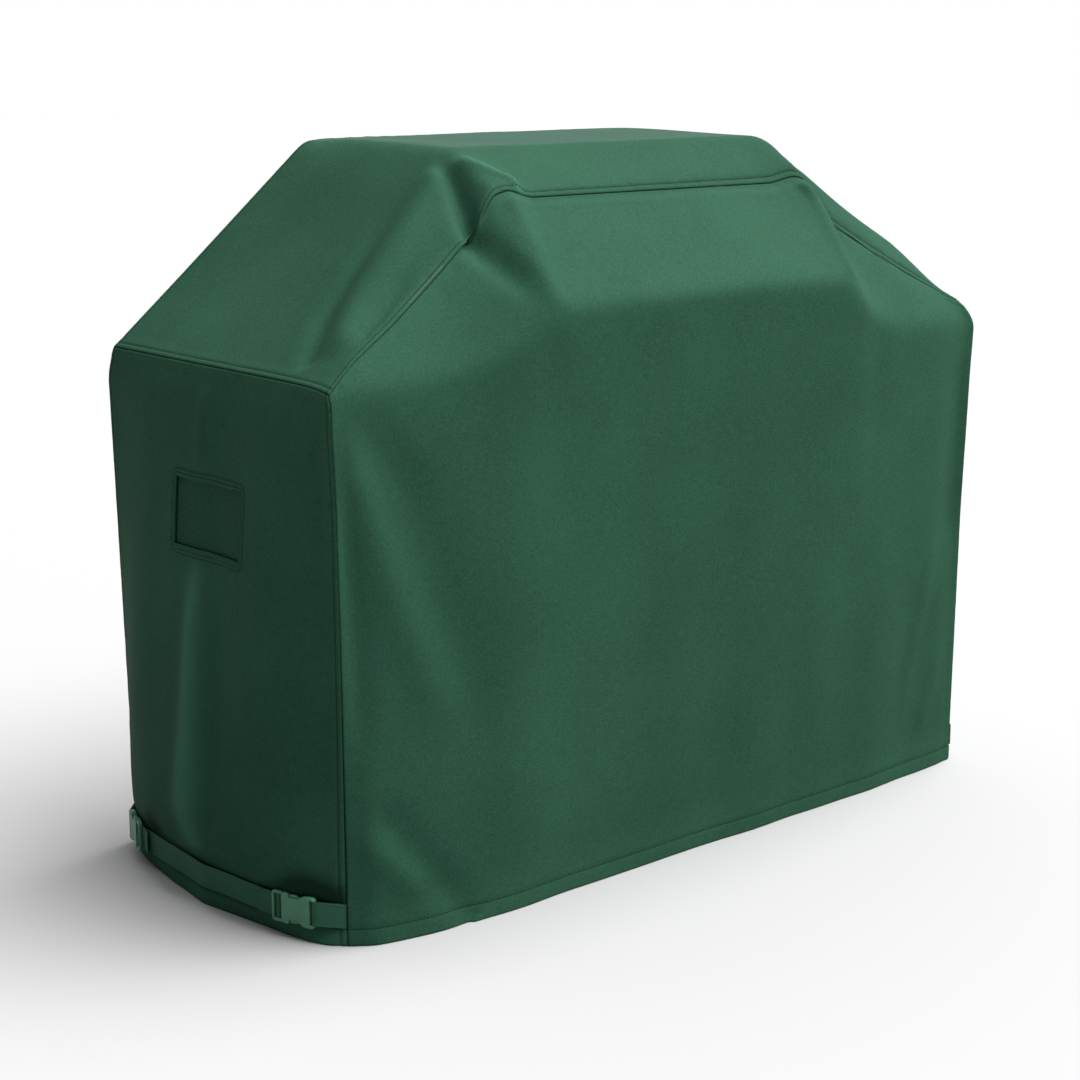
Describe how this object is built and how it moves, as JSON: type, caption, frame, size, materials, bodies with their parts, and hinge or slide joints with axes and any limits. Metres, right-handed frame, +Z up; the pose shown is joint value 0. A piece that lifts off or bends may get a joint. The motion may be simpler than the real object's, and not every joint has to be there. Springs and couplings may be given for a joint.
{
  "type": "grill cover",
  "caption": "Fitted fabric cover for a cart grill, with a raised lid hump, screened vents and cinch straps with side-release buckles.",
  "frame": {"origin": "centre of the bounding box, on the plane of the hem", "axes": "+X along the cover's width to its right end, -Y to its front, +Z up"},
  "size_m": [1.606, 0.724, 1.224],
  "materials": {
    "panel_fabric": "matt coated polyester, woven",
    "seam_tape": "sealed inner tape",
    "vent_mesh": "open woven screen",
    "webbing": "ribbed webbing",
    "buckle_plastic": "satin moulded"
  },
  "bodies": {
    "cover": {"front_panel": "panel_fabric", "back_panel": "panel_fabric", "crown_panel": "panel_fabric", "left_side_panel": "panel_fabric", "right_side_panel": "panel_fabric", "front_crown_seam_tape": "seam_tape", "back_crown_seam_tape": "seam_tape", "left_shoulder_seam_tape": "seam_tape", "right_shoulder_seam_tape": "seam_tape", "front_left_corner_tape": "seam_tape", "front_right_corner_tape": "seam_tape", "back_left_corner_tape": "seam_tape", "back_right_corner_tape": "seam_tape", "left_vent_frame": "panel_fabric", "right_vent_frame": "panel_fabric", "left_vent_mesh": "vent_mesh", "right_vent_mesh": "vent_mesh", "left_strap": "webbing", "right_strap": "webbing", "front_left_tab": "webbing", "front_left_socket": "buckle_plastic", "rear_left_tab": "webbing", "rear_left_socket": "buckle_plastic", "front_right_tab": "webbing", "front_right_socket": "buckle_plastic", "rear_right_tab": "webbing", "rear_right_socket": "buckle_plastic"},
    "front_left_plug": {"front_left_plug": "buckle_plastic"},
    "front_left_latch_a": {"front_left_latch_a": "buckle_plastic"},
    "front_left_latch_b": {"front_left_latch_b": "buckle_plastic"},
    "rear_left_plug": {"rear_left_plug": "buckle_plastic"},
    "rear_left_latch_a": {"rear_left_latch_a": "buckle_plastic"},
    "rear_left_latch_b": {"rear_left_latch_b": "buckle_plastic"},
    "front_right_plug": {"front_right_plug": "buckle_plastic"},
    "front_right_latch_a": {"front_right_latch_a": "buckle_plastic"},
    "front_right_latch_b": {"front_right_latch_b": "buckle_plastic"},
    "rear_right_plug": {"rear_right_plug": "buckle_plastic"},
    "rear_right_latch_a": {"rear_right_latch_a": "buckle_plastic"},
    "rear_right_latch_b": {"rear_right_latch_b": "buckle_plastic"}
  },
  "joints": [
    {"name": "front_left_plug_pull", "type": "slide", "parent": "cover", "child": "front_left_plug", "axis": [-0.3062, 0.952, 0], "range_m": [0, 0.045], "deforming": ["left_strap", "front_left_latch_a", "front_left_latch_b"]},
    {"name": "front_left_latch_a_pinch", "type": "hinge", "parent": "front_left_plug", "child": "front_left_latch_a", "pos_m": [-0.78504, -0.20041, 0.036], "axis": [-0.952, -0.3062, 0], "range_deg": [0, 12], "stiffness_Nm_per_rad": 0.4},
    {"name": "front_left_latch_b_pinch", "type": "hinge", "parent": "front_left_plug", "child": "front_left_latch_b", "pos_m": [-0.78504, -0.20041, 0.064], "axis": [-0.952, -0.3062, 0], "range_deg": [-12, 0], "stiffness_Nm_per_rad": 0.4},
    {"name": "rear_left_plug_pull", "type": "slide", "parent": "cover", "child": "rear_left_plug", "axis": [-0.3498, -0.9368, 0], "range_m": [0, 0.045], "deforming": ["left_strap", "rear_left_latch_a", "rear_left_latch_b"]},
    {"name": "rear_left_latch_a_pinch", "type": "hinge", "parent": "rear_left_plug", "child": "rear_left_latch_a", "pos_m": [-0.77768, 0.24733, 0.064], "axis": [-0.9368, 0.3498, 0], "range_deg": [0, 12], "stiffness_Nm_per_rad": 0.4},
    {"name": "rear_left_latch_b_pinch", "type": "hinge", "parent": "rear_left_plug", "child": "rear_left_latch_b", "pos_m": [-0.77768, 0.24733, 0.036], "axis": [-0.9368, 0.3498, 0], "range_deg": [-12, 0], "stiffness_Nm_per_rad": 0.4},
    {"name": "front_right_plug_pull", "type": "slide", "parent": "cover", "child": "front_right_plug", "axis": [0.3062, 0.952, 0], "range_m": [0, 0.045], "deforming": ["right_strap", "front_right_latch_a", "front_right_latch_b"]},
    {"name": "front_right_latch_a_pinch", "type": "hinge", "parent": "front_right_plug", "child": "front_right_latch_a", "pos_m": [0.78504, -0.20041, 0.064], "axis": [0.952, -0.3062, 0], "range_deg": [0, 12], "stiffness_Nm_per_rad": 0.4},
    {"name": "front_right_latch_b_pinch", "type": "hinge", "parent": "front_right_plug", "child": "front_right_latch_b", "pos_m": [0.78504, -0.20041, 0.036], "axis": [0.952, -0.3062, 0], "range_deg": [-12, 0], "stiffness_Nm_per_rad": 0.4},
    {"name": "rear_right_plug_pull", "type": "slide", "parent": "cover", "child": "rear_right_plug", "axis": [0.3498, -0.9368, 0], "range_m": [0, 0.045], "deforming": ["right_strap", "rear_right_latch_a", "rear_right_latch_b"]},
    {"name": "rear_right_latch_a_pinch", "type": "hinge", "parent": "rear_right_plug", "child": "rear_right_latch_a", "pos_m": [0.77768, 0.24733, 0.036], "axis": [0.9368, 0.3498, 0], "range_deg": [0, 12], "stiffness_Nm_per_rad": 0.4},
    {"name": "rear_right_latch_b_pinch", "type": "hinge", "parent": "rear_right_plug", "child": "rear_right_latch_b", "pos_m": [0.77768, 0.24733, 0.064], "axis": [0.9368, 0.3498, 0], "range_deg": [-12, 0], "stiffness_Nm_per_rad": 0.4}
  ],
  "couplings": [
    {"joint": "front_left_latch_b_pinch", "follows": "front_left_latch_a_pinch", "ratio": -1},
    {"joint": "rear_left_latch_b_pinch", "follows": "rear_left_latch_a_pinch", "ratio": -1},
    {"joint": "front_right_latch_b_pinch", "follows": "front_right_latch_a_pinch", "ratio": -1},
    {"joint": "rear_right_latch_b_pinch", "follows": "rear_right_latch_a_pinch", "ratio": -1}
  ]
}
